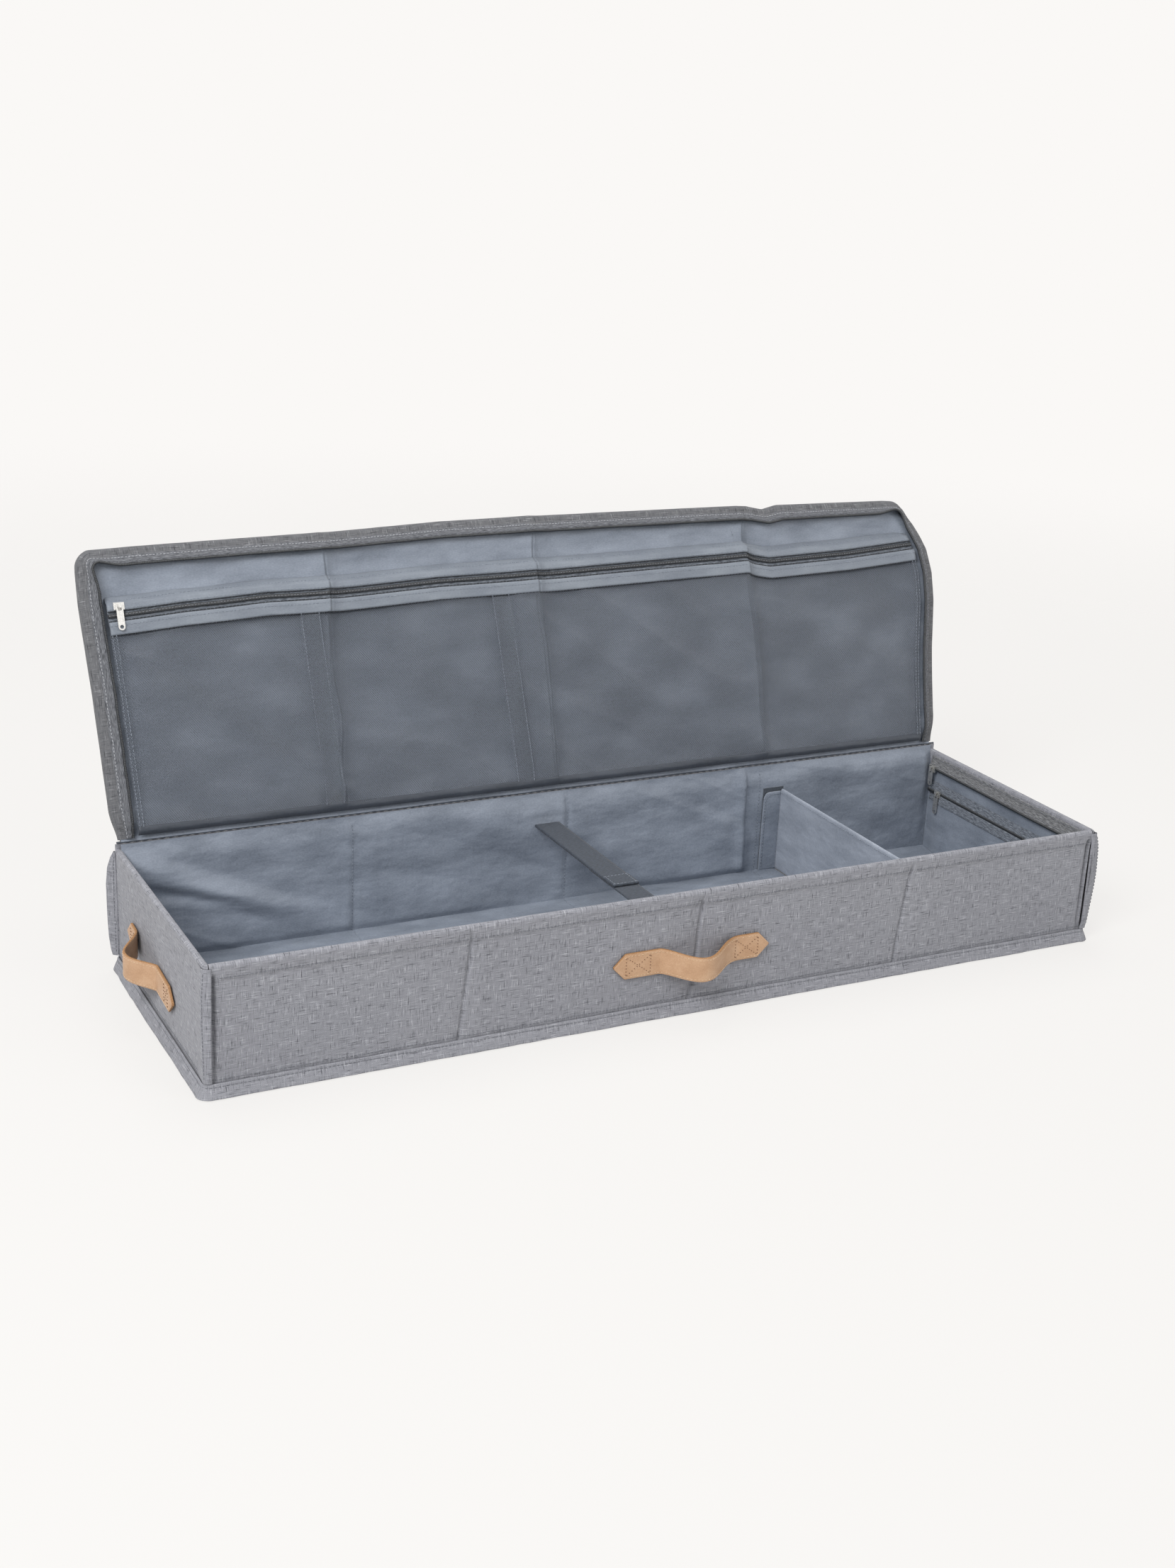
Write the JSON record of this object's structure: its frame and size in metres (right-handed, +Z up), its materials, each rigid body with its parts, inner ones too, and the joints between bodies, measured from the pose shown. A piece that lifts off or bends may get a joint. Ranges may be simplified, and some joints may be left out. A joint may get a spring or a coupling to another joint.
{
  "type": "gift wrap organizer",
  "caption": "Long low fabric storage case for rolls of gift wrap, with a hinged zip lid, mesh lid pockets, a holding strap, a lift-out divider and leather carry handles.",
  "frame": {"origin": "on the underside of the bottom, below the middle of the box", "axes": "+X along the long side to the right, -Y out of the front wall, +Z up; the lid is hinged at +Y"},
  "size_m": [1.0478, 0.457, 0.4109],
  "materials": {
    "melange_cloth": "matte woven",
    "lining_cloth": "fine matte woven",
    "grey_board": "matte",
    "pocket_mesh": "open knit",
    "zip_tape": "ribbed woven",
    "zip_coil": "satin",
    "nickel_plate": "polished",
    "tan_leather": "smooth matte",
    "strap_webbing": "ribbed woven",
    "loop_strip": "napped"
  },
  "bodies": {
    "base": {"bottom_cover": "melange_cloth", "bottom_board": "grey_board", "bottom_lining": "lining_cloth", "front_cover": "melange_cloth", "front_board": "grey_board", "front_lining": "lining_cloth", "rear_cover": "melange_cloth", "rear_board": "grey_board", "rear_lining": "lining_cloth", "left_cover": "melange_cloth", "left_board": "grey_board", "left_lining": "lining_cloth", "right_cover": "melange_cloth", "right_board": "grey_board", "right_lining": "lining_cloth", "corner_strip_front_left": "melange_cloth", "corner_strip_front_right": "melange_cloth", "corner_fin_rear_left": "melange_cloth", "corner_fin_rear_right": "melange_cloth", "foot_skirt": "melange_cloth", "base_zip_tape": "zip_tape", "base_zip_coil": "zip_coil", "front_handle": "tan_leather", "left_handle": "tan_leather", "right_handle": "tan_leather", "divider_loop_strip": "loop_strip", "end_pocket_panel": "lining_cloth", "end_pocket_lower_tape": "zip_tape", "end_pocket_upper_tape": "zip_tape", "end_pocket_coil": "zip_coil"},
    "lid": {"lid_cover": "melange_cloth", "lid_board": "grey_board", "lid_lining": "lining_cloth", "lid_hinge_seam": "melange_cloth", "lid_border_front": "melange_cloth", "lid_border_left": "melange_cloth", "lid_border_right": "melange_cloth", "lid_zip_tape": "zip_tape", "lid_zip_coil": "zip_coil", "lid_mesh": "pocket_mesh", "lid_mesh_seams": "pocket_mesh", "lid_pocket_tape": "zip_tape", "lid_pocket_coil": "zip_coil", "lid_pocket_binding": "lining_cloth", "lid_pocket_hem": "lining_cloth"},
    "divider": {"divider_cover": "lining_cloth", "divider_board": "grey_board", "divider_flange": "lining_cloth"},
    "main_slider_left": {"main_slider_left": "nickel_plate"},
    "main_pull_left": {"main_pull_left": "nickel_plate"},
    "main_slider_right": {"main_slider_right": "nickel_plate"},
    "main_pull_right": {"main_pull_right": "nickel_plate"},
    "lid_pocket_slider": {"lid_pocket_slider": "nickel_plate"},
    "lid_pocket_pull": {"lid_pocket_pull": "nickel_plate"},
    "end_pocket_slider": {"end_pocket_slider": "nickel_plate"},
    "end_pocket_pull": {"end_pocket_pull": "nickel_plate"},
    "strap_rear": {"strap_rear": "strap_webbing"},
    "strap_front": {"strap_front": "strap_webbing"}
  },
  "joints": [
    {"name": "lid_hinge", "type": "hinge", "parent": "base", "child": "lid", "pos_m": [0, 0.1494, 0.1365], "axis": [-1, 0, 0], "range_deg": [-114.5, 90]},
    {"name": "main_slider_left_travel", "type": "slide", "parent": "base", "child": "main_slider_left", "axis": [0, -1, 0], "range_m": [0, 0.245]},
    {"name": "main_pull_left_swing", "type": "hinge", "parent": "main_slider_left", "child": "main_pull_left", "pos_m": [-0.48685, 0.133, 0.11], "axis": [0, -1, 0], "range_deg": [0, 170]},
    {"name": "main_slider_right_travel", "type": "slide", "parent": "base", "child": "main_slider_right", "axis": [0, -1, 0], "range_m": [0, 0.245]},
    {"name": "main_pull_right_swing", "type": "hinge", "parent": "main_slider_right", "child": "main_pull_right", "pos_m": [0.48685, 0.133, 0.11], "axis": [0, 1, 0], "range_deg": [0, 170]},
    {"name": "lid_pocket_slider_travel", "type": "slide", "parent": "lid", "child": "lid_pocket_slider", "axis": [1, 0, 0], "range_m": [0, 0.93]},
    {"name": "lid_pocket_pull_swing", "type": "hinge", "parent": "lid_pocket_slider", "child": "lid_pocket_pull", "pos_m": [-0.4675, 0.23393, 0.35623], "axis": [-1, 0, 0], "range_deg": [0, 170]},
    {"name": "end_pocket_slider_travel", "type": "slide", "parent": "base", "child": "end_pocket_slider", "axis": [0, -1, 0], "range_m": [0, 0.25]},
    {"name": "end_pocket_pull_swing", "type": "hinge", "parent": "end_pocket_slider", "child": "end_pocket_pull", "pos_m": [0.48775, 0.119, 0.0815], "axis": [0, 1, 0], "range_deg": [0, 170]},
    {"name": "divider_lift", "type": "slide", "parent": "base", "child": "divider", "axis": [0, 0, 1], "range_m": [0, 0.125]},
    {"name": "strap_rear_swing", "type": "hinge", "parent": "base", "child": "strap_rear", "pos_m": [-0.0255, 0.1446, 0.10135], "axis": [-1, 0, 0], "range_deg": [0, 78]},
    {"name": "strap_front_swing", "type": "hinge", "parent": "base", "child": "strap_front", "pos_m": [-0.0255, -0.1446, 0.09865], "axis": [1, 0, 0], "range_deg": [-34, 0]}
  ]
}
